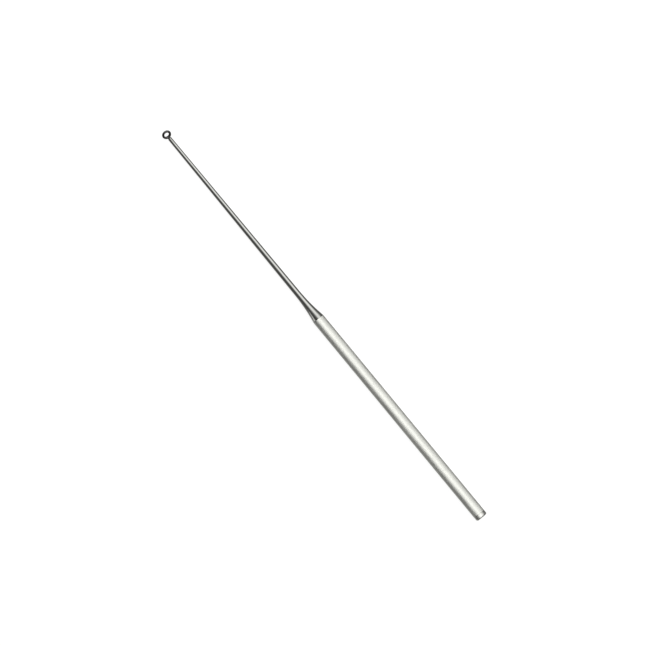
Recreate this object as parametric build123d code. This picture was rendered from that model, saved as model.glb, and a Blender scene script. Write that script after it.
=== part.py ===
from build123d import *

import os
from math import cos, radians, sin

# Inoculating loop: a round wire eye on a slender tapered shaft, set in a tubular metal handle.
# The tool lies on a bench. Its axis runs along +X, from the handle's rear end to the eye, and the
# bench is the plane Z = 0. The origin is on the bench, below the middle of the tool's length.
# Lengths are in millimetres and angles in degrees.

# Handle: a length of thin tube, closed at the rear by a turned plug.
HANDLE_DIAMETER = 5.0
TUBE_WALL = 0.5
TUBE_LENGTH = 98.8
TUBE_EDGE_BREAK = 0.12
PLUG_HEAD_LENGTH = 1.8
PLUG_STEM_LENGTH = 6.0
PLUG_CORNER_RADIUS = 0.75
PLUG_CENTRE_DIAMETER = 0.9

# Shaft: a long taper that flares out to the handle's diameter, with a spigot inside the tube.
SHAFT_TIP_DIAMETER = 1.6
SHAFT_ROOT_DIAMETER = 2.54
TAPER_LENGTH = 78.6
FLARE_LENGTH = 12.7
SHOULDER_EDGE_BREAK = 0.1
SPIGOT_LENGTH = 12.0
NOSE_RADIUS = 0.16

# Grooves round the spigot and the plug's stem, which hold the braze that locks them in the tube.
GROOVE_WIDTH = 0.8
GROOVE_DEPTH = 0.15
GROOVE_PITCH = 3.2
STEM_LEAD_IN = 0.4

# Eye: round wire closed into a ring, tilted up from the shaft's line, with a straight tail.
WIRE_DIAMETER = 0.93
EYE_BORE = 1.9
EYE_TILT = 38.0
TAIL_LENGTH = 6.0
NECK_STRAIGHT = 0.3
NECK_BEND_RADIUS = 0.55
NECK_RISE = 0.07
SOCKET_DRILL_POINT = 0.2

# Solder: a concave fillet round the wire where it leaves the shaft's nose.
SOLDER_LENGTH = 0.28
SOLDER_FOOT_RADIUS = 0.62
SOLDER_LIP = 0.14
SOLDER_HOLLOW_RADIUS = 0.35

# Worked out from the above. Stations along the axis count from the handle's rear end.
HANDLE_RADIUS = HANDLE_DIAMETER / 2
TUBE_BORE_RADIUS = HANDLE_RADIUS - TUBE_WALL
WIRE_RADIUS = WIRE_DIAMETER / 2
RING_RADIUS = (EYE_BORE + WIRE_DIAMETER) / 2
SHAFT_TIP_RADIUS = SHAFT_TIP_DIAMETER / 2
SHAFT_ROOT_RADIUS = SHAFT_ROOT_DIAMETER / 2

TUBE_REAR = PLUG_HEAD_LENGTH
TUBE_FRONT = TUBE_REAR + TUBE_LENGTH
FLARE_FRONT = TUBE_FRONT + FLARE_LENGTH
NOSE_FACE = FLARE_FRONT + TAPER_LENGTH

TILT = radians(EYE_TILT)
BEND_END_X = NOSE_FACE + NECK_STRAIGHT + NECK_BEND_RADIUS * sin(TILT)
BEND_END_Z = NECK_BEND_RADIUS * (1 - cos(TILT))
RING_CENTRE_X = BEND_END_X + (NECK_RISE + RING_RADIUS) * cos(TILT)
RING_CENTRE_Z = BEND_END_Z + (NECK_RISE + RING_RADIUS) * sin(TILT)
OVERALL_LENGTH = RING_CENTRE_X + RING_RADIUS * cos(TILT) + WIRE_RADIUS


def revolved(outline):
    """A solid of revolution about the tool's axis. The outline is a closed chain of edges whose
    X is the station along the axis and whose Y is the radius."""
    return revolve(make_face(outline), Axis.X)


def groove(centre, radius):
    """The points of a square-sided groove cut into a spigot of this radius, from rear to front."""
    bottom = radius - GROOVE_DEPTH
    rear, front = centre - GROOVE_WIDTH / 2, centre + GROOVE_WIDTH / 2
    return [(rear, radius), (rear, bottom), (front, bottom), (front, radius)]


def handle_tube():
    """The tube, with both outer edges broken where it meets the plug and the shaft's shoulder."""
    outline = Polyline(
        (TUBE_REAR, TUBE_BORE_RADIUS),
        (TUBE_REAR, HANDLE_RADIUS - TUBE_EDGE_BREAK),
        (TUBE_REAR + TUBE_EDGE_BREAK, HANDLE_RADIUS),
        (TUBE_FRONT - TUBE_EDGE_BREAK, HANDLE_RADIUS),
        (TUBE_FRONT, HANDLE_RADIUS - TUBE_EDGE_BREAK),
        (TUBE_FRONT, TUBE_BORE_RADIUS),
        close=True,
    )
    return revolved(outline)


def end_plug():
    """A round-cornered head as wide as the tube, with a lathe centre, on a stem inside the tube."""
    corner = HANDLE_RADIUS - PLUG_CORNER_RADIUS
    stem_end = TUBE_REAR + PLUG_STEM_LENGTH
    centre_radius = PLUG_CENTRE_DIAMETER / 2
    rim = RadiusArc((0, corner), (PLUG_CORNER_RADIUS, HANDLE_RADIUS), PLUG_CORNER_RADIUS)
    rest = Polyline(
        (PLUG_CORNER_RADIUS, HANDLE_RADIUS),
        (TUBE_REAR - SHOULDER_EDGE_BREAK, HANDLE_RADIUS),
        (TUBE_REAR, HANDLE_RADIUS - SHOULDER_EDGE_BREAK),
        (TUBE_REAR, TUBE_BORE_RADIUS),
        *groove(TUBE_REAR + PLUG_STEM_LENGTH / 2, TUBE_BORE_RADIUS),
        (stem_end - STEM_LEAD_IN, TUBE_BORE_RADIUS),
        (stem_end, TUBE_BORE_RADIUS - STEM_LEAD_IN),
        (stem_end, 0),
        (centre_radius, 0),
        (0, centre_radius),
        (0, corner),
    )
    return revolved([rim, rest])


def shaft():
    """Spigot, shoulder, flare and taper in one piece, with a drilled socket in the nose."""
    spigot_end = TUBE_FRONT - SPIGOT_LENGTH
    socket_end = NOSE_FACE - TAIL_LENGTH
    nose_start = NOSE_FACE - NOSE_RADIUS
    taper_slope = (SHAFT_ROOT_RADIUS - SHAFT_TIP_RADIUS) / (nose_start - FLARE_FRONT)
    spigot = Polyline(
        (socket_end - SOCKET_DRILL_POINT, 0),
        (spigot_end, 0),
        (spigot_end, TUBE_BORE_RADIUS - STEM_LEAD_IN),
        (spigot_end + STEM_LEAD_IN, TUBE_BORE_RADIUS),
        *groove(TUBE_FRONT - 2 * GROOVE_PITCH, TUBE_BORE_RADIUS),
        *groove(TUBE_FRONT - GROOVE_PITCH, TUBE_BORE_RADIUS),
        (TUBE_FRONT, TUBE_BORE_RADIUS),
        (TUBE_FRONT, HANDLE_RADIUS - SHOULDER_EDGE_BREAK),
        (TUBE_FRONT + SHOULDER_EDGE_BREAK, HANDLE_RADIUS),
    )
    flare = TangentArc(
        (FLARE_FRONT, SHAFT_ROOT_RADIUS),
        (TUBE_FRONT + SHOULDER_EDGE_BREAK, HANDLE_RADIUS),
        tangent=(-1, taper_slope),
    )
    taper = Line((FLARE_FRONT, SHAFT_ROOT_RADIUS), (nose_start, SHAFT_TIP_RADIUS))
    nose = RadiusArc(
        (nose_start, SHAFT_TIP_RADIUS),
        (NOSE_FACE, SHAFT_TIP_RADIUS - NOSE_RADIUS),
        NOSE_RADIUS,
    )
    socket = Polyline(
        (NOSE_FACE, SHAFT_TIP_RADIUS - NOSE_RADIUS),
        (NOSE_FACE, WIRE_RADIUS),
        (socket_end, WIRE_RADIUS),
        (socket_end - SOCKET_DRILL_POINT, 0),
    )
    return revolved([spigot, flare, taper, nose, socket])


def loop():
    """The ring and its tail. The tail is straight in the socket, bends up by the tilt just past
    the nose, and meets the ring square on."""
    tail_end = NOSE_FACE - TAIL_LENGTH
    bend_start = NOSE_FACE + NECK_STRAIGHT
    up = Vector(cos(TILT), 0, sin(TILT))
    ring_centre = Vector(RING_CENTRE_X, 0, RING_CENTRE_Z)
    ring_rear = ring_centre - up * RING_RADIUS
    straight = Line((tail_end, 0, 0), (bend_start, 0, 0))
    bend = TangentArc((bend_start, 0, 0), (BEND_END_X, 0, BEND_END_Z), tangent=(1, 0, 0))
    neck = Line((BEND_END_X, 0, BEND_END_Z), ring_rear)
    section = Plane(origin=(tail_end, 0, 0), z_dir=(1, 0, 0)) * Circle(WIRE_RADIUS)
    tail = sweep(section, path=Wire([*straight.edges(), *bend.edges(), *neck.edges()]))
    ring = Pos(*ring_centre) * Rot(0, -EYE_TILT, 0) * Torus(RING_RADIUS, WIRE_RADIUS)
    return tail + ring


def loop_solder():
    """A concave collar of solder on the shaft's nose, round the wire's straight neck."""
    front = NOSE_FACE + SOLDER_LENGTH
    lip = WIRE_RADIUS + SOLDER_LIP
    hollow = RadiusArc((NOSE_FACE, SOLDER_FOOT_RADIUS), (front, lip), -SOLDER_HOLLOW_RADIUS)
    rest = Polyline(
        (front, lip),
        (front, WIRE_RADIUS),
        (NOSE_FACE, WIRE_RADIUS),
        (NOSE_FACE, SOLDER_FOOT_RADIUS),
    )
    return revolved([hollow, rest])


SUB_PARTS = {
    "handle_tube": handle_tube,
    "end_plug": end_plug,
    "shaft": shaft,
    "loop": loop,
    "loop_solder": loop_solder,
}


def main():
    """Builds each sub-part, lays it on the bench and writes it to its own file."""
    os.makedirs("parts", exist_ok=True)
    on_bench = Pos(-OVERALL_LENGTH / 2, 0, HANDLE_RADIUS)
    for name, make in SUB_PARTS.items():
        solid = on_bench * make()
        export_step(solid, f"parts/{name}.step")
        print(f"{name}: {solid.volume:.3f} mm3")
    print(f"overall length {OVERALL_LENGTH:.2f} mm")


main()
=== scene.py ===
from math import atan2, cos, pi, radians, sin, tan

import bpy
import numpy as np
from bpy.props import FloatProperty, FloatVectorProperty, IntProperty, PointerProperty
from mathutils import Euler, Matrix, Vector


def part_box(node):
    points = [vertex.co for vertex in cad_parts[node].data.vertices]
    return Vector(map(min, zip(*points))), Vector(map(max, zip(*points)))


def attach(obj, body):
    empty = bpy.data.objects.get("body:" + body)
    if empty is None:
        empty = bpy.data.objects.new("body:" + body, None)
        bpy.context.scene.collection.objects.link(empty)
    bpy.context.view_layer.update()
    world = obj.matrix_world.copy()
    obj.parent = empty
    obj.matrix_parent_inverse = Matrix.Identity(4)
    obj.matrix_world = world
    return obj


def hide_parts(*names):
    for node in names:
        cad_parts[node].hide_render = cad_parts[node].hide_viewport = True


bl_info = {
    "name": "Inoculating loop",
    "version": (1, 0, 0),
    "blender": (4, 5, 0),
    "location": "3D View > Sidebar > Inoculating Loop",
    "description": "Builds a wire-eyed laboratory tool round its fixed frame, in a plain studio",
    "category": "Add Mesh",
}

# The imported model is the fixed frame. Every place below is worked out from its boxes, in metres.
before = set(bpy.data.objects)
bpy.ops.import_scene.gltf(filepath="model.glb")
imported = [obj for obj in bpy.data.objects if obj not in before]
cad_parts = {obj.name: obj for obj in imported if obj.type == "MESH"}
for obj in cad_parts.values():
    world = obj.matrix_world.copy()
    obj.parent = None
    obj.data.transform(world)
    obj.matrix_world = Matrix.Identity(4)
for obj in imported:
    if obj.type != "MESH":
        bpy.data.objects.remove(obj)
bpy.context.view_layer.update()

TUBE_LOW, TUBE_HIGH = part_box("handle_tube")
PLUG_LOW, PLUG_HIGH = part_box("end_plug")
SHAFT_LOW, SHAFT_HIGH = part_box("shaft")
LOOP_LOW, LOOP_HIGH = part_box("loop")
SOLDER_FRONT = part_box("loop_solder")[1].x

MM = 0.001
HANDLE_RADIUS = (TUBE_HIGH.z - TUBE_LOW.z) / 2
AXIS_HEIGHT = TUBE_LOW.z + HANDLE_RADIUS
NOSE_FACE = SHAFT_HIGH.x
BODY = "root"

# Small features, most of them hidden: the radii on the tube's inner edges, on the plug's shoulder and
# on the rim of its lathe centre, the braze grooves, the lead-in on the ends of the spigot and the
# stem, and the length of the drill's point at the bottom of the wire's socket.
BORE_EDGE = 0.04 * MM
PLUG_EDGE = 0.1 * MM
DIMPLE_EDGE = 0.05 * MM
GROOVE_WIDTH = 0.8 * MM
GROOVE_DEPTH = 0.15 * MM
GROOVE_PITCH = 3.2 * MM
LEAD_IN = 0.4 * MM
DRILL_POINT = 0.2 * MM

# How finely the outlines of the tube and of the solid pieces are divided: the longest step on a
# straight, how near a rounded edge the first extra point lies, and the steps in each arc.
TUBE_STEP, TUBE_MARGIN = 2.0 * MM, 0.06 * MM
STEP, MARGIN = 1.5 * MM, 0.05 * MM
RIM_STEPS, FLARE_STEPS, NOSE_STEPS, SHOULDER_STEPS, SOLDER_STEPS = 10, 40, 8, 5, 12

# How finely the wire and the solder are divided: round their sections, round the ring, and along each
# part of the tail.
WIRE_SIDES, SOLDER_SIDES, RING_STATIONS = 40, 64, 128
STRAIGHT_STATIONS, BEND_STATIONS, NECK_STATIONS = 24, 17, 6

# An arc's bulge is its height over half its chord. A quarter circle's follows from its angle, and
# the solder's hollow side is a shallow arc to the other side.
QUARTER_BULGE = tan(pi / 8)
SOLDER_BULGE = -0.2

# How far round the ring, in radians, the swelling at the tail's joint reaches.
SWELL_ANGLE = 0.75

# Below this radius, in metres, an outline's end counts as lying on the axis.
ON_AXIS = 1e-9

# The middle of the view on the bench, beside the middle of the tool.
VIEW_CENTRE = (0.5 * MM, -0.36 * MM)

# The room is brightest across the tool, and falls to this share towards the tool's two ends. The
# range is that of the direction's part along the axis.
ROOM_END_SHARE = 0.35
ROOM_FADE = (0.2, 0.95)

# Soft boxes, each one metre from the tool: the angle of its middle about the tool's axis and the
# angle it spans, in degrees, then the place of its middle along the axis and its length, in metres.
SOFT_BOXES = {
    "overhead_box": (10, 56, 0.0, 4.0),
    "side_box": (-80, 28, 0.0, 1.5),
    "front_card": (102, 72, 0.60, 0.72),
}

# The room's light by angle about the tool's axis, in degrees from straight up.
ROOM_LEVELS = [
    (-180, 0.72),
    (-150, 0.42),
    (-120, 0.10),
    (-98, 0.05),
    (-75, 0.22),
    (-38, 0.96),
    (-14, 0.81),
    (8, 0.22),
    (26, 0.06),
    (65, 0.06),
    (112, 0.13),
    (140, 0.48),
    (180, 0.72),
]


# ---------------------------------------------------------------------------------------------
# Settings a user would change
# ---------------------------------------------------------------------------------------------


def length(name, description, default):
    """A length setting in metres, shown to a hundredth of a millimetre."""
    return FloatProperty(
        name=name, description=description, default=default, min=0.0, precision=5, unit="LENGTH"
    )


def share(name, description, default):
    """A setting from 0 to 1."""
    return FloatProperty(
        name=name, description=description, default=default, min=0.0, max=1.0, subtype="FACTOR"
    )


def colour(name, description, default):
    """A linear RGB colour setting."""
    return FloatVectorProperty(
        name=name, description=description, default=default, min=0.0, max=1.0, size=3, subtype="COLOR"
    )


def strength(name, description, default):
    """A light's strength, from 0 up."""
    return FloatProperty(name=name, description=description, default=default, min=0.0)


def facets(name, description, default):
    """A number of facets round the tool's axis."""
    return IntProperty(name=name, description=description, default=default, min=24, max=512)


def turned_by(name, description, degrees):
    """An angle setting, given in degrees and kept in radians."""
    return FloatProperty(
        name=name, description=description, default=radians(degrees), subtype="ANGLE"
    )


class HandleSettings(bpy.types.PropertyGroup):
    """The satin tube and the turned plug in its rear end."""

    wall: length("Tube wall", "Thickness of the tube's wall", 0.5 * MM)
    edge: length("Tube edge", "Radius on the tube's two outer edges", 0.12 * MM)
    rim: length("Plug rim", "Radius on the plug's rear rim", 0.75 * MM)
    centre: length("Lathe centre", "Diameter of the dimple in the plug's rear face", 0.9 * MM)
    satin_colour: colour("Satin steel", "Colour of the tube", (0.80, 0.805, 0.757))
    satin_roughness: share("Satin roughness", "How soft the tube's reflections are", 0.54)
    turned_colour: colour("Turned steel", "Colour of the plug", (0.74, 0.744, 0.70))
    turned_roughness: share("Turned roughness", "How soft the plug's reflections are", 0.38)
    sides: facets("Sides", "Facets round the handle", 160)


class ShaftSettings(bpy.types.PropertyGroup):
    """The polished taper, its flare and the spigot inside the tube."""

    tip_diameter: length("Tip diameter", "Diameter at the nose", 1.6 * MM)
    root_diameter: length("Root diameter", "Diameter where the flare begins", 2.54 * MM)
    flare: length("Flare", "Length of the flare", 12.7 * MM)
    nose: length("Nose radius", "Radius on the nose", 0.16 * MM)
    edge: length("Shoulder edge", "Radius on the shoulder's edge", 0.1 * MM)
    polished_colour: colour("Polished steel", "Colour of the shaft", (0.62, 0.624, 0.594))
    polished_roughness: share("Polish", "How soft the shaft's reflections are", 0.13)
    sides: facets("Sides", "Facets round the shaft", 128)


class LoopSettings(bpy.types.PropertyGroup):
    """The round wire eye, its tail and the solder that holds it."""

    wire: length("Wire", "Diameter of the wire", 0.93 * MM)
    tilt: turned_by("Tilt", "Angle of the eye above the shaft's line", 38.0)
    bend: length("Bend", "Radius of the tail's bend", 0.55 * MM)
    crotch: length("Crotch", "Radius of the web where the tail meets the ring", 0.4 * MM)
    swell: length("Swelling", "How far the wire swells at the tail's joint", 0.1 * MM)
    wire_colour: colour("Wire", "Colour of the wire", (0.155, 0.153, 0.148))
    wire_roughness: share("Wire roughness", "How soft the wire's reflections are", 0.27)
    solder_foot: length("Solder foot", "Radius of the solder on the nose", 0.62 * MM)
    solder_lip: length("Solder lip", "Thickness of the solder's front edge", 0.13 * MM)
    solder_colour: colour("Solder", "Colour of the solder", (0.15, 0.147, 0.14))
    solder_roughness: share("Solder roughness", "How soft the solder's reflections are", 0.34)


class StageSettings(bpy.types.PropertyGroup):
    """The floor, the lights and the camera."""

    floor_colour: colour("Floor", "Colour of the floor", (0.4, 0.4, 0.4))
    floor_glow: strength("Floor glow", "Light that the floor gives off", 0.9)
    room_strength: strength("Room", "Strength of the room's light", 1.35)
    key_radiance: strength("Overhead box", "Brightness of the soft box above the handle", 1.12)
    side_radiance: strength("Side box", "Brightness of the soft box beside the handle", 0.75)
    card_radiance: strength("Front card", "Brightness of the card beside the flare", 0.62)
    lens: FloatProperty(
        name="Lens", description="Focal length, in millimetres", default=600.0, min=20.0
    )
    width: length("View width", "How much of the floor the view spans", 0.25226)
    turn: turned_by("Turn", "Angle by which the view is turned about the vertical", 129.5)


# ---------------------------------------------------------------------------------------------
# Outlines
# ---------------------------------------------------------------------------------------------


def arc_between(start, end, bulge, steps):
    """Points of a circular arc. The arc leaves the straight line from start to end sideways by
    bulge times half that line's length: a point at share s of the arc's angle lies on the circle
    through both ends whose sagitta is that offset."""
    start, end = np.asarray(start, float), np.asarray(end, float)
    half_angle = 2 * np.arctan(bulge)
    chord = end - start
    radius = np.linalg.norm(chord) / (2 * np.sin(half_angle))
    along = chord / np.linalg.norm(chord)
    side = np.array([-along[1], along[0]])
    centre = (start + end) / 2 - side * radius * np.cos(half_angle)
    angle = np.linspace(-half_angle, half_angle, steps + 1)[:, None]
    return centre + radius * (np.sin(angle) * along + np.cos(angle) * side)


def tangent_arc(start, direction, end, steps):
    """Points of the circular arc that leaves start along direction and ends at end. The arc turns
    through twice the angle between its first direction and the straight line to its end."""
    start, end = np.asarray(start, float), np.asarray(end, float)
    chord = end - start
    turn = atan2(chord[1], chord[0]) - atan2(direction[1], direction[0])
    turn = (turn + pi) % (2 * pi) - pi
    return arc_between(start, end, -tan(turn / 2), steps)


def rounded(points, radii, steps=6):
    """An outline whose corners are rounded. At each corner an arc of the given radius touches both
    neighbouring sides: it starts radius / tan(half the corner's angle) from the corner, and its
    centre is on the corner's bisector. A radius of 0 keeps the corner."""
    points = [np.asarray(p, float) for p in points]
    made = []
    for i, (corner, radius) in enumerate(zip(points, radii)):
        if radius <= 0:
            made.append(corner[None, :])
            continue
        back = points[i - 1] - corner
        on = points[(i + 1) % len(points)] - corner
        back, on = back / np.linalg.norm(back), on / np.linalg.norm(on)
        half = np.arccos(np.clip(back @ on, -1, 1)) / 2
        reach = radius / np.tan(half)
        centre = corner + (back + on) / np.linalg.norm(back + on) * radius / np.sin(half)
        first, last = corner + back * reach - centre, corner + on * reach - centre
        total = pi - 2 * half
        angle = np.linspace(0, total, steps + 1)[:, None]
        made.append(centre + (np.sin(total - angle) * first + np.sin(angle) * last) / np.sin(total))
    return np.vstack(made)


def spread(outline, longest, margin):
    """The outline with points added on its long straights: one every longest metres, and one at
    margin from each end, so that the shading of a rounded edge doesn't reach into the straight."""
    steps = np.linalg.norm(np.diff(outline, axis=0), axis=1)
    station = np.concatenate([[0.0], np.cumsum(steps)])
    long = steps > 3 * margin
    near = np.concatenate([station[:-1][long] + margin, station[1:][long] - margin])
    even = np.arange(0.0, station[-1], longest)
    gap = np.abs(even[:, None] - station[None, :]).min(axis=1)
    every = np.unique(np.concatenate([station, near, even[gap > margin]]))
    return np.column_stack([np.interp(every, station, outline[:, k]) for k in range(2)])


# ---------------------------------------------------------------------------------------------
# Surfaces
# ---------------------------------------------------------------------------------------------


def grid_faces(rows, columns, close_rows):
    """Quads between neighbouring points of a grid whose columns close into a ring. Point (i, j) has
    number i * columns + j, and the last row joins the first one if close_rows is set."""
    last = rows if close_rows else rows - 1
    i, j = np.meshgrid(np.arange(last), np.arange(columns), indexing="ij")
    down, right = (i + 1) % rows, (j + 1) % columns
    here, below = i * columns, down * columns
    quads = np.stack([here + j, here + right, below + right, below + j], -1)
    return quads.reshape(-1, 4)


def cap_faces(first, columns, pole, flip):
    """Triangles from a ring of points, which starts at number first, to its pole."""
    j = np.arange(columns)
    a, b = first + j, first + (j + 1) % columns
    fan = np.column_stack([b, a, np.full(columns, pole)])
    return fan[:, ::-1] if flip else fan


def mesh_piece(name, shells):
    """A smooth-shaded mesh object from closed shells. Each shell is (points, quads, triangles,
    along), where along is the surface coordinate kept as the attribute surface_place."""
    points, faces, places, count = [], [], [], 0
    for shell_points, quads, triangles, along in shells:
        points.append(shell_points)
        places.append(along)
        faces += (quads + count).tolist() + (triangles + count).tolist()
        count += len(shell_points)
    mesh = bpy.data.meshes.new(name)
    mesh.from_pydata(np.vstack(points).tolist(), [], faces)
    attribute = mesh.attributes.new("surface_place", "FLOAT_VECTOR", "POINT")
    attribute.data.foreach_set("vector", np.vstack(places).astype(np.float32).ravel())
    mesh.polygons.foreach_set("use_smooth", np.ones(len(mesh.polygons), bool))
    mesh.update()
    if mesh.validate():
        raise RuntimeError(f"{name}: the surface had faults")
    made = bpy.data.objects.new(name, mesh)
    bpy.context.scene.collection.objects.link(made)
    return made


def turned(outline, sides, ripple=None):
    """A surface of revolution about the tool's axis. Outline point (x, r) becomes the ring of
    points (x, r cos a, axis height + r sin a) for angles a round the axis. An outline that starts
    and ends on the axis closes in two poles, and any other outline closes on itself. Ripple, if
    given, is a function of x and a that multiplies r."""
    poles = outline[0, 1] < ON_AXIS and outline[-1, 1] < ON_AXIS
    body = outline[1:-1] if poles else outline
    angle = np.linspace(0, 2 * pi, sides, endpoint=False)
    x, a = np.meshgrid(body[:, 0], angle, indexing="ij")
    r = np.repeat(body[:, 1:], sides, axis=1)
    if ripple is not None:
        r = r * ripple(x, a)
    points = np.stack([x, r * np.cos(a), AXIS_HEIGHT + r * np.sin(a)], -1).reshape(-1, 3)
    quads = grid_faces(len(body), sides, close_rows=not poles)
    triangles = np.zeros((0, 3), int)
    if poles:
        ends = [[outline[0, 0], 0, AXIS_HEIGHT], [outline[-1, 0], 0, AXIS_HEIGHT]]
        first_pole = len(points)
        points = np.vstack([points, ends])
        front_ring = first_pole - sides
        triangles = np.vstack(
            [
                cap_faces(0, sides, first_pole, flip=False),
                cap_faces(front_ring, sides, first_pole + 1, flip=True),
            ]
        )
    return points, quads, triangles, points


def swept(path, normal, semi_side, semi_up, sides):
    """A round or oval bar along a path in the plane Y = 0. At each path point the section is the
    ellipse path + side * cos(v) * Y + up * sin(v) * normal, and both ends close in a pole."""
    v = np.linspace(0, 2 * pi, sides, endpoint=False)
    across = np.array([0.0, 1.0, 0.0])
    ring = semi_side[:, None, None] * np.cos(v)[None, :, None] * across
    ring = ring + semi_up[:, None, None] * np.sin(v)[None, :, None] * normal[:, None, :]
    points = (path[:, None, :] + ring).reshape(-1, 3)
    station = np.concatenate([[0.0], np.cumsum(np.linalg.norm(np.diff(path, axis=0), axis=1))])
    size = semi_up.max()
    along = np.stack(
        [
            np.repeat(station, sides),
            np.tile(size * np.cos(v), len(path)),
            np.tile(size * np.sin(v), len(path)),
        ],
        -1,
    )
    first_pole = len(points)
    points = np.vstack([points, path[:1], path[-1:]])
    along = np.vstack([along, [[station[0], 0, 0], [station[-1], 0, 0]]])
    triangles = np.vstack(
        [
            cap_faces(0, sides, first_pole, flip=False),
            cap_faces(first_pole - sides, sides, first_pole + 1, flip=True),
        ]
    )
    return points, grid_faces(len(path), sides, close_rows=False), triangles, along


def ring_bar(centre, forward, radius, wire_radius, swell, around, sides):
    """A torus whose bar swells where the tail joins it. Its point at ring angle u and section angle
    v is the centre plus (radius + bar cos v)(cos u forward + sin u Y) + bar sin v * the ring's
    normal. The bar's radius is the wire's, plus swell times a bell curve of u about the tail."""
    u, v = np.meshgrid(
        np.linspace(0, 2 * pi, around, endpoint=False),
        np.linspace(0, 2 * pi, sides, endpoint=False),
        indexing="ij",
    )
    across = np.array([0.0, 1.0, 0.0])
    normal = np.cross(forward, across)
    bar = wire_radius + swell * np.exp(-(((u - pi) / SWELL_ANGLE) ** 2))
    reach = (radius + bar * np.cos(v))[..., None]
    out = np.cos(u)[..., None] * forward + np.sin(u)[..., None] * across
    points = centre + reach * out + (bar * np.sin(v))[..., None] * normal
    along = np.stack([radius * u, wire_radius * np.cos(v), wire_radius * np.sin(v)], -1)
    quads = grid_faces(around, sides, close_rows=True)
    return points.reshape(-1, 3), quads[:, ::-1], np.zeros((0, 3), int), along.reshape(-1, 3)


# ---------------------------------------------------------------------------------------------
# Finishes
# ---------------------------------------------------------------------------------------------


def add_node(tree, kind, inputs=None, **settings):
    """Adds a node. Each input is linked if it is given a socket, and set if it is given a value."""
    made = tree.nodes.new(kind)
    for name, value in settings.items():
        setattr(made, name, value)
    for name, value in (inputs or {}).items():
        socket = made.inputs[name]
        if isinstance(value, bpy.types.NodeSocket):
            tree.links.new(value, socket)
        else:
            socket.default_value = value
    return made


def metal(name):
    """A metallic material with its shader and the object's own coordinates."""
    made = bpy.data.materials.new(name)
    made.use_nodes = True
    tree = made.node_tree
    tree.nodes.clear()
    out = tree.nodes.new("ShaderNodeOutputMaterial")
    shader = add_node(tree, "ShaderNodeBsdfPrincipled", {"Metallic": 1.0})
    tree.links.new(shader.outputs["BSDF"], out.inputs["Surface"])
    place = add_node(tree, "ShaderNodeTexCoord").outputs["Object"]
    return made, tree, shader, place


def grain(tree, place, per_metre, detail=3.0, roughness=0.5):
    """Noise from 0 to 1 whose features are 1 / per_metre long along each axis."""
    stretched = add_node(tree, "ShaderNodeMapping", {"Vector": place, "Scale": per_metre})
    noise = add_node(
        tree,
        "ShaderNodeTexNoise",
        {"Vector": stretched.outputs[0], "Scale": 1.0, "Detail": detail, "Roughness": roughness},
    )
    return noise.outputs["Fac"]


def remap(tree, value, low, high, from_low=0.0, from_high=1.0):
    """The value, stretched from one range to another and held within it."""
    made = add_node(
        tree,
        "ShaderNodeMapRange",
        {"Value": value, "From Min": from_low, "From Max": from_high, "To Min": low, "To Max": high},
    )
    return made.outputs["Result"]


def maths(tree, operation, a, b=0.0):
    """One arithmetic operation."""
    return add_node(tree, "ShaderNodeMath", {0: a, 1: b}, operation=operation).outputs[0]


def set_tint(tree, shader, rgb, low, high, shade):
    """Feeds the base colour, from rgb times low where the shade is 0 to rgb times high where it is
    1. The shade varies over the surface."""
    dark = [c * low for c in rgb]
    light = [min(1.0, c * high) for c in rgb]
    mix = tree.nodes.new("ShaderNodeMix")
    mix.data_type = "RGBA"
    ends = [s for s in mix.inputs if s.type == "RGBA"]
    tree.links.new(shade, mix.inputs[0])
    ends[0].default_value = (*dark, 1.0)
    ends[1].default_value = (*light, 1.0)
    out = [s for s in mix.outputs if s.type == "RGBA"][0]
    tree.links.new(out, shader.inputs["Base Color"])


def bumped(tree, shader, height, distance):
    """Relief of the given depth, in metres, from a height of 0 to 1."""
    bump = add_node(tree, "ShaderNodeBump", {"Height": height, "Strength": 1.0, "Distance": distance})
    tree.links.new(bump.outputs["Normal"], shader.inputs["Normal"])


def edge_mask(tree, place, centre_x, half_length, fade):
    """1 at a turned piece's two ends and 0 further in than fade, by distance along the axis."""
    x = add_node(tree, "ShaderNodeSeparateXYZ", {0: place}).outputs["X"]
    off = maths(tree, "ABSOLUTE", maths(tree, "SUBTRACT", x, centre_x))
    return remap(tree, off, 0.0, 1.0, half_length - fade, half_length)


def spread_out(tree, noise, low=0.0, high=1.0):
    """The noise with its usual range stretched to run from low to high."""
    usual_low, usual_high = 0.3, 0.7
    return remap(tree, noise, low, high, usual_low, usual_high)


def varied(tree, broad, fine, level, broad_swing, fine_swing):
    """A roughness about level. Broad noise moves it by the pair broad_swing, from the noise's low
    to its high end, and fine noise by up to fine_swing either way."""
    soft = spread_out(tree, broad, level + broad_swing[0], level + broad_swing[1])
    return maths(tree, "ADD", soft, spread_out(tree, fine, -fine_swing, fine_swing))


def blended(tree, first, second, share_of_second):
    """A weighted mean of two values."""
    kept = maths(tree, "MULTIPLY", first, 1.0 - share_of_second)
    return maths(tree, "ADD", kept, maths(tree, "MULTIPLY", second, share_of_second))


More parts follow.
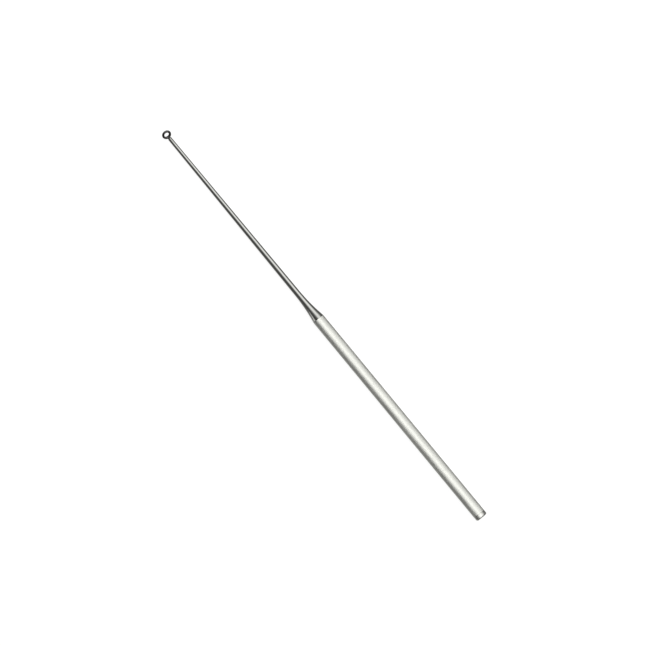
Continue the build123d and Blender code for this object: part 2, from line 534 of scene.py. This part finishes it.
def satin_steel(settings):
    """Finely blasted and brushed tube: soft reflections, a close sparkling grain, handling marks that
    shift the gloss a little, and edges that wear bright."""
    made, tree, shader, place = metal("satin_steel")
    blast = grain(tree, place, (13000, 13000, 13000), detail=2.0)
    brush = grain(tree, place, (700, 15000, 15000), detail=2.0)
    handling = grain(tree, place, (150, 300, 300), detail=4.0)
    shade = blended(tree, spread_out(tree, handling), spread_out(tree, blast), 0.4)
    set_tint(tree, shader, settings.satin_colour, 0.925, 1.045, shade)
    middle, half_length = (TUBE_LOW.x + TUBE_HIGH.x) / 2, (TUBE_HIGH.x - TUBE_LOW.x) / 2
    wear_reach, wear_gloss = 0.5 * MM, 0.12
    worn = edge_mask(tree, place, middle, half_length, wear_reach)
    rough = varied(tree, handling, brush, settings.satin_roughness, (-0.03, 0.03), 0.05)
    rough = maths(tree, "SUBTRACT", rough, maths(tree, "MULTIPLY", worn, wear_gloss))
    tree.links.new(rough, shader.inputs["Roughness"])
    bumped(tree, shader, blended(tree, blast, brush, 0.4), 0.010 * MM)
    return made


def polished_steel(settings):
    """Buffed shaft: crisp reflections with fine lines along it, a few hairline scratches, soft smears,
    and painted shade that darkens its last few millimetres towards the nose, where the eye joins it."""
    made, tree, shader, place = metal("polished_steel")
    lines = grain(tree, place, (400, 12000, 12000), detail=3.0)
    hairs = grain(tree, place, (150, 20000, 20000), detail=1.0)
    smear = grain(tree, place, (150, 600, 600), detail=4.0)
    scratch = remap(tree, hairs, 0.0, 1.0, 0.66, 0.70)
    scratch_dullness, scratch_depth = 0.12, 0.3
    # Painted shade: over the last 3.5 mm the base colour darkens to a quarter at the nose, where the
    # eye joins the shaft.
    shade_reach, nose_shade_level = 3.5 * MM, 0.25
    along = add_node(tree, "ShaderNodeSeparateXYZ", {0: place}).outputs["X"]
    nose_shade_factor = remap(tree, along, 1.0, nose_shade_level, NOSE_FACE - shade_reach, NOSE_FACE)
    mottle = blended(tree, spread_out(tree, smear, 0.8, 1.0), spread_out(tree, lines, 0.7, 1.0), 0.5)
    shade = maths(tree, "MULTIPLY", nose_shade_factor, mottle)
    set_tint(tree, shader, settings.polished_colour, 0.6, 1.06, shade)
    rough = varied(tree, smear, lines, settings.polished_roughness, (-0.03, 0.04), 0.03)
    rough = maths(tree, "ADD", rough, maths(tree, "MULTIPLY", scratch, scratch_dullness))
    tree.links.new(rough, shader.inputs["Roughness"])
    height = maths(tree, "SUBTRACT", lines, maths(tree, "MULTIPLY", scratch, scratch_depth))
    bumped(tree, shader, height, 0.0022 * MM)
    return made


def turned_steel(settings):
    """Lathe-turned plug: fine rings round the axis on its rim and its rear face."""
    made, tree, shader, place = metal("turned_steel")
    axis = (0.0, 0.0, AXIS_HEIGHT)
    centred = add_node(tree, "ShaderNodeVectorMath", {0: place, 1: axis}, operation="SUBTRACT")
    parts = add_node(tree, "ShaderNodeSeparateXYZ", {0: centred.outputs[0]})
    across, up = parts.outputs["Y"], parts.outputs["Z"]
    square = maths(
        tree, "ADD", maths(tree, "MULTIPLY", across, across), maths(tree, "MULTIPLY", up, up)
    )
    radius = maths(tree, "SQRT", square)
    rings_at = add_node(tree, "ShaderNodeCombineXYZ", {"X": parts.outputs["X"], "Y": radius})
    rings = grain(tree, rings_at.outputs[0], (13000, 13000, 1), detail=3.0)
    smear = grain(tree, place, (700, 700, 700), detail=4.0)
    shade = blended(tree, spread_out(tree, smear), spread_out(tree, rings), 0.5)
    set_tint(tree, shader, settings.turned_colour, 0.92, 1.05, shade)
    rough = varied(tree, smear, rings, settings.turned_roughness, (-0.03, 0.04), 0.06)
    tree.links.new(rough, shader.inputs["Roughness"])
    bumped(tree, shader, rings, 0.006 * MM)
    return made


def loop_wire(settings):
    """Drawn wire, darkened by the flame: fine lines along the wire and cloudy, slightly brown scale
    that is duller where it is thick."""
    made, tree, shader, _ = metal("loop_wire")
    place = add_node(tree, "ShaderNodeAttribute", attribute_name="surface_place").outputs["Vector"]
    lines = grain(tree, place, (600, 15000, 15000), detail=3.0)
    scale = grain(tree, place, (1500, 2600, 2600), detail=5.0, roughness=0.6)
    shade = blended(tree, spread_out(tree, scale), spread_out(tree, lines), 0.35)
    set_tint(tree, shader, settings.wire_colour, 0.62, 1.5, shade)
    rough = varied(tree, scale, lines, settings.wire_roughness, (0.12, -0.08), 0.04)
    tree.links.new(rough, shader.inputs["Roughness"])
    bumped(tree, shader, blended(tree, lines, scale, 0.4), 0.006 * MM)
    return made


def silver_solder(settings):
    """Solder as it froze: smooth, a little lumpy, with small dull patches of spent flux."""
    made, tree, shader, place = metal("silver_solder")
    lumps = grain(tree, place, (3500, 3500, 3500), detail=2.0)
    flux = grain(tree, place, (6000, 6000, 6000), detail=4.0)
    set_tint(tree, shader, settings.solder_colour, 0.75, 1.35, spread_out(tree, flux))
    level = settings.solder_roughness
    rough = spread_out(tree, flux, level - 0.06, level + 0.18)
    tree.links.new(rough, shader.inputs["Roughness"])
    bumped(tree, shader, blended(tree, lumps, flux, 0.3), 0.02 * MM)
    return made


def finish_piece(piece, material, node):
    """Gives a piece its material, stands it in for its CAD node and lets it ride on the tool."""
    piece.data.materials.append(material)
    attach(piece, BODY)
    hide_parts(node)


# ---------------------------------------------------------------------------------------------
# Pieces
# ---------------------------------------------------------------------------------------------


def tube_outline(settings):
    """The tube's section on one side of the axis: a long thin rectangle with rounded outer edges."""
    bore = HANDLE_RADIUS - settings.wall
    rear, front = TUBE_LOW.x, TUBE_HIGH.x
    corners = [(rear, bore), (rear, HANDLE_RADIUS), (front, HANDLE_RADIUS), (front, bore)]
    shape = rounded(corners, [BORE_EDGE, settings.edge, settings.edge, BORE_EDGE])
    return spread(np.vstack([shape, shape[:1]]), TUBE_STEP, TUBE_MARGIN)[:-1]


def groove_corners(centre, radius):
    """The four corners of a square braze groove cut into a round stem."""
    bottom = radius - GROOVE_DEPTH
    rear, front = centre - GROOVE_WIDTH / 2, centre + GROOVE_WIDTH / 2
    return [(rear, radius), (rear, bottom), (front, bottom), (front, radius)]


def plug_outline(settings):
    """The plug's section: a lathe centre, a flat rear face, a rounded rim, the head's side, its
    shoulder against the tube, and the grooved stem inside the tube."""
    bore = HANDLE_RADIUS - settings.wall
    rear, shoulder, end = PLUG_LOW.x, TUBE_LOW.x, PLUG_HIGH.x
    dimple = settings.centre / 2
    groove = groove_corners((shoulder + end) / 2, bore)
    corners = [
        (rear + dimple, 0),
        (rear, dimple),
        (rear, HANDLE_RADIUS),
        (shoulder, HANDLE_RADIUS),
        (shoulder, bore),
        *groove,
        (end, bore),
        (end, 0),
    ]
    stem = [0] * (1 + len(groove))
    radii = [0, DIMPLE_EDGE, settings.rim, PLUG_EDGE, *stem, LEAD_IN, 0]
    return spread(rounded(corners, radii, RIM_STEPS), STEP, MARGIN)


def shaft_outline(settings, wall, wire):
    """The shaft's section: the spigot inside the tube, the shoulder, a flare whose arc is tangent to
    the taper, the taper itself, the rounded nose and the wire's socket."""
    bore = HANDLE_RADIUS - wall
    shoulder, spigot_end = TUBE_HIGH.x, SHAFT_LOW.x
    tip, root = settings.tip_diameter / 2, settings.root_diameter / 2
    flare_front = shoulder + settings.flare
    nose_start = NOSE_FACE - settings.nose
    socket_end = LOOP_LOW.x
    slope = (root - tip) / (nose_start - flare_front)
    corners = [
        (spigot_end, 0),
        (spigot_end, bore),
        *groove_corners(shoulder - 2 * GROOVE_PITCH, bore),
        *groove_corners(shoulder - GROOVE_PITCH, bore),
        (shoulder, bore),
    ]
    spigot = rounded(corners, [0, LEAD_IN] + [0] * (len(corners) - 2))
    lip_rear = (shoulder, HANDLE_RADIUS - settings.edge)
    lip_front = (shoulder + settings.edge, HANDLE_RADIUS)
    lip = arc_between(lip_rear, lip_front, QUARTER_BULGE, SHOULDER_STEPS)
    flare = tangent_arc((flare_front, root), (-1, slope), lip_front, FLARE_STEPS)[::-1]
    nose_rim = (NOSE_FACE, tip - settings.nose)
    nose = arc_between((nose_start, tip), nose_rim, QUARTER_BULGE, NOSE_STEPS)
    bottom = socket_end - DRILL_POINT
    socket = np.array([(NOSE_FACE, wire / 2), (socket_end, wire / 2), (bottom, 0)])
    return spread(np.vstack([spigot, lip, flare[1:], nose, socket]), STEP, MARGIN)


def eye_places(settings):
    """Ring radius, wire radius, ring centre, and the direction from the tail into the ring, from the
    frame's box of the loop: the box ends one wire radius beyond the ring's centre line."""
    wire = settings.wire / 2
    ring = LOOP_HIGH.y - wire
    forward = np.array([cos(settings.tilt), 0.0, sin(settings.tilt)])
    top = np.array([LOOP_HIGH.x - wire, 0.0, LOOP_HIGH.z - wire])
    return ring, wire, top - forward * ring, forward


def tail_path(settings):
    """The tail's centre line: straight along the axis, round a bend, and into the ring's centre
    line. The bend touches both straights bend radius * tan(tilt / 2) from where they would meet."""
    ring, _, centre, forward = eye_places(settings)
    into = centre - forward * ring
    meet = into - forward * (into[2] - AXIS_HEIGHT) / forward[2]
    reach = settings.bend * tan(settings.tilt / 2)
    angle = np.linspace(0, settings.tilt, BEND_STATIONS)[:, None]
    start = meet - [reach, 0, 0]
    bend = start + settings.bend * np.hstack([np.sin(angle), 0 * angle, 1 - np.cos(angle)])
    tail_end = [LOOP_LOW.x, 0, AXIS_HEIGHT]
    straight = np.linspace(tail_end, start, STRAIGHT_STATIONS, endpoint=False)
    end = np.linspace(bend[-1], into, NECK_STATIONS)[1:]
    path = np.vstack([straight, bend, end])
    lean = np.concatenate([np.zeros(len(straight)), angle[:, 0], np.full(len(end), settings.tilt)])
    normal = np.column_stack([-np.sin(lean), 0 * lean, np.cos(lean)])
    return path, normal


def crotch_width(settings, path):
    """Half the tail's width at each path point. Within the ring's plane a circle of the crotch's
    radius touches both the tail's side and the ring's outer edge, and the tail widens along it."""
    ring, wire, centre, _ = eye_places(settings)
    outer, fillet = ring + wire, settings.crotch
    from_centre = np.linalg.norm(path - centre, axis=1)
    begin = np.sqrt((outer + fillet) ** 2 - (wire + fillet) ** 2)
    stop = begin * outer / (outer + fillet)
    q = np.clip(from_centre, stop, begin)
    return wire + fillet - np.sqrt(np.maximum(fillet**2 - (begin - q) ** 2, 0.0))


def solder_ripple(x, a):
    """What multiplies the solder's radius: 1 plus a low wave twice round the wire, plus a lower one
    five times round it that also winds along it."""
    low, lower, start, winding = 0.02, 0.015, 0.6, 2500
    return 1 + low * np.sin(2 * a + start) + lower * np.sin(5 * a + winding * x)


class INOCULATING_LOOP_OT_handle(bpy.types.Operator):
    """Build the satin tube and the turned plug in its rear end"""

    bl_idname = "inoculating_loop.handle"
    bl_label = "Handle"

    def execute(self, context):
        settings = context.scene.loop_handle
        tube = mesh_piece("handle_satin_tube", [turned(tube_outline(settings), settings.sides)])
        finish_piece(tube, satin_steel(settings), "handle_tube")
        plug = mesh_piece("handle_rear_plug", [turned(plug_outline(settings), settings.sides)])
        finish_piece(plug, turned_steel(settings), "end_plug")
        return {"FINISHED"}


class INOCULATING_LOOP_OT_shaft(bpy.types.Operator):
    """Build the polished shaft"""

    bl_idname = "inoculating_loop.shaft"
    bl_label = "Shaft"

    def execute(self, context):
        settings = context.scene.loop_shaft
        outline = shaft_outline(settings, context.scene.loop_handle.wall, context.scene.loop_eye.wire)
        shaft = mesh_piece("polished_taper_shaft", [turned(outline, settings.sides)])
        finish_piece(shaft, polished_steel(settings), "shaft")
        return {"FINISHED"}


class INOCULATING_LOOP_OT_eye(bpy.types.Operator):
    """Build the wire eye with its tail"""

    bl_idname = "inoculating_loop.eye"
    bl_label = "Wire eye"

    def execute(self, context):
        settings = context.scene.loop_eye
        ring, wire, centre, forward = eye_places(settings)
        path, normal = tail_path(settings)
        width, height = crotch_width(settings, path), np.full(len(path), wire)
        tail = swept(path, normal, width, height, WIRE_SIDES)
        bar = ring_bar(centre, forward, ring, wire, settings.swell, RING_STATIONS, WIRE_SIDES)
        eye = mesh_piece("wire_eye", [tail, bar])
        finish_piece(eye, loop_wire(settings), "loop")
        return {"FINISHED"}


class INOCULATING_LOOP_OT_solder(bpy.types.Operator):
    """Build the solder round the wire's root"""

    bl_idname = "inoculating_loop.solder"
    bl_label = "Solder"

    def execute(self, context):
        settings = context.scene.loop_eye
        wire = settings.wire / 2
        foot = (NOSE_FACE, settings.solder_foot)
        lip = (SOLDER_FRONT, wire + settings.solder_lip)
        hollow = arc_between(foot, lip, SOLDER_BULGE, SOLDER_STEPS)
        inner = np.array([(SOLDER_FRONT, wire), (NOSE_FACE, wire)])
        shape = np.vstack([hollow, inner])
        collar = mesh_piece("solder_collar", [turned(shape, SOLDER_SIDES, solder_ripple)])
        finish_piece(collar, silver_solder(settings), "loop_solder")
        return {"FINISHED"}


# ---------------------------------------------------------------------------------------------
# Stage
# ---------------------------------------------------------------------------------------------


def make_sweep(settings):
    """A round floor that curves up into a wall, carried round the vertical axis: flat to the curve,
    a quarter circle, then straight up. It glows a little, so shadows on it stay faint. Only the
    camera sees it, and the tool's reflections come from the room and the lights."""
    middle, flat, curve, wall = 1.0, 3.8, 1.0, 4.5
    sides, curve_stations = 96, 13
    angle = np.linspace(0, pi / 2, curve_stations)[:, None]
    bend = np.hstack([flat + curve * np.sin(angle), curve * (1 - np.cos(angle))])
    outline = np.vstack([[[0.0, 0.0], [middle, 0.0]], bend, [[flat + curve, wall]]])
    turn = np.linspace(0, 2 * pi, sides, endpoint=False)
    radius, a = np.meshgrid(outline[1:, 0], turn, indexing="ij")
    height = np.repeat(outline[1:, 1:], sides, axis=1)
    points = np.stack([radius * np.cos(a), radius * np.sin(a), height], -1).reshape(-1, 3)
    quads = grid_faces(len(outline) - 1, sides, close_rows=False)[:, ::-1]
    disc = cap_faces(0, sides, len(points), flip=True)
    points = np.vstack([points, [[0.0, 0.0, 0.0]]])
    sweep = mesh_piece("studio_sweep", [(points, quads, disc, points)])
    made = bpy.data.materials.new("studio_sweep")
    made.use_nodes = True
    shader = next(n for n in made.node_tree.nodes if n.type == "BSDF_PRINCIPLED")
    shader.inputs["Base Color"].default_value = (*settings.floor_colour, 1.0)
    shader.inputs["Roughness"].default_value = 0.9
    shader.inputs["Specular IOR Level"].default_value = 0.0
    shader.inputs["Emission Color"].default_value = (1, 1, 1, 1)
    shader.inputs["Emission Strength"].default_value = settings.floor_glow
    sweep.data.materials.append(made)
    for rays in ("visible_glossy", "visible_diffuse", "visible_transmission", "visible_shadow"):
        setattr(sweep, rays, False)


def make_room(settings):
    """The room's soft light, painted by direction: a ramp over the angle about the tool's axis,
    counted from straight up, positive towards +Y. One bright band lies up and towards -Y."""
    world = bpy.data.worlds.new("studio_room")
    bpy.context.scene.world = world
    world.use_nodes = True
    tree = world.node_tree
    tree.nodes.clear()
    out = tree.nodes.new("ShaderNodeOutputWorld")
    direction = add_node(tree, "ShaderNodeTexCoord").outputs["Generated"]
    parts = add_node(tree, "ShaderNodeSeparateXYZ", {0: direction})
    angle = maths(tree, "ARCTAN2", parts.outputs["Y"], parts.outputs["Z"])
    ramp = tree.nodes.new("ShaderNodeValToRGB")
    tree.links.new(remap(tree, angle, 0.0, 1.0, -pi, pi), ramp.inputs["Fac"])
    elements = ramp.color_ramp.elements
    while len(elements) < len(ROOM_LEVELS):
        elements.new(0.5)
    for element, (degrees, level) in zip(elements, ROOM_LEVELS):
        element.position = (degrees + 180) / 360
        element.color = (level, level, level, 1.0)
    ramp.color_ramp.interpolation = "EASE"
    lean = maths(tree, "ABSOLUTE", parts.outputs["X"])
    full = settings.room_strength
    level = remap(tree, lean, full, ROOM_END_SHARE * full, *ROOM_FADE)
    inputs = {"Color": ramp.outputs["Color"], "Strength": level}
    background = add_node(tree, "ShaderNodeBackground", inputs)
    tree.links.new(background.outputs[0], out.inputs["Surface"])


def make_soft_box(name, radiance, lit):
    """One of the soft boxes, turned to face the tool's axis. It lights only the pieces in lit. Its
    power is its radiance times pi times its area."""
    angle_degrees, spread_degrees, along, reach = SOFT_BOXES[name]
    angle, spread_angle = radians(angle_degrees), radians(spread_degrees)
    light = bpy.data.lights.new(name, "AREA")
    light.shape = "RECTANGLE"
    light.size, light.size_y = reach, 2 * tan(spread_angle / 2)
    light.energy = radiance * pi * light.size * light.size_y
    box = bpy.data.objects.new(name, light)
    box.location = Vector((along, sin(angle), cos(angle)))
    box.rotation_euler = Euler((-angle, 0.0, 0.0))
    box.visible_camera = False
    bpy.context.scene.collection.objects.link(box)
    group = bpy.data.collections.new(name)
    for piece in lit:
        group.objects.link(piece)
    box.light_linking.receiver_collection = group


def make_camera(settings):
    """A long lens straight above the tool, turned so that the eye points to the upper left."""
    data = bpy.data.cameras.new("camera")
    data.lens = settings.lens
    camera = bpy.data.objects.new("camera", data)
    height = settings.width * data.lens / data.sensor_width
    camera.location = (*VIEW_CENTRE, AXIS_HEIGHT + height)
    camera.rotation_euler = Euler((0.0, 0.0, -settings.turn))
    data.clip_start, data.clip_end = height / 10, height * 10
    bpy.context.scene.collection.objects.link(camera)
    bpy.context.scene.camera = camera


class INOCULATING_LOOP_OT_stage(bpy.types.Operator):
    """Build the floor, the lights and the camera"""

    bl_idname = "inoculating_loop.stage"
    bl_label = "Stage"

    def execute(self, context):
        settings = context.scene.loop_stage
        make_sweep(settings)
        make_room(settings)
        tube = bpy.data.objects["handle_satin_tube"]
        plug = bpy.data.objects["handle_rear_plug"]
        shaft = bpy.data.objects["polished_taper_shaft"]
        make_soft_box("overhead_box", settings.key_radiance, [tube, plug])
        make_soft_box("side_box", settings.side_radiance, [tube])
        make_soft_box("front_card", settings.card_radiance, [shaft])
        make_camera(settings)
        context.scene.view_settings.view_transform = "Standard"
        return {"FINISHED"}


class INOCULATING_LOOP_PT_panel(bpy.types.Panel):
    """The tool's settings and the steps that build it"""

    bl_idname = "INOCULATING_LOOP_PT_panel"
    bl_label = "Inoculating loop"
    bl_space_type = "VIEW_3D"
    bl_region_type = "UI"
    bl_category = "Inoculating Loop"

    def draw(self, context):
        for name, steps in SECTIONS.items():
            box = self.layout.box()
            group = getattr(context.scene, name)
            for setting in group.bl_rna.properties.keys():
                if setting not in ("rna_type", "name"):
                    box.prop(group, setting)
            for step in steps:
                box.operator(step.bl_idname)


SECTIONS = {
    "loop_handle": [INOCULATING_LOOP_OT_handle],
    "loop_shaft": [INOCULATING_LOOP_OT_shaft],
    "loop_eye": [INOCULATING_LOOP_OT_eye, INOCULATING_LOOP_OT_solder],
    "loop_stage": [INOCULATING_LOOP_OT_stage],
}
GROUPS = {
    "loop_handle": HandleSettings,
    "loop_shaft": ShaftSettings,
    "loop_eye": LoopSettings,
    "loop_stage": StageSettings,
}
OPERATORS = [step for steps in SECTIONS.values() for step in steps]
CLASSES = [*GROUPS.values(), *OPERATORS, INOCULATING_LOOP_PT_panel]


def register():
    """Registers every class, and keeps each group of settings on the scene."""
    for made in CLASSES:
        bpy.utils.register_class(made)
    for name, group in GROUPS.items():
        setattr(bpy.types.Scene, name, PointerProperty(type=group))


def unregister():
    """Undoes register."""
    for name in GROUPS:
        delattr(bpy.types.Scene, name)
    for made in reversed(CLASSES):
        bpy.utils.unregister_class(made)


def main():
    register()
    bpy.ops.inoculating_loop.handle()
    bpy.ops.inoculating_loop.shaft()
    bpy.ops.inoculating_loop.eye()
    bpy.ops.inoculating_loop.solder()
    bpy.ops.inoculating_loop.stage()


if __name__ == "__main__":
    main()
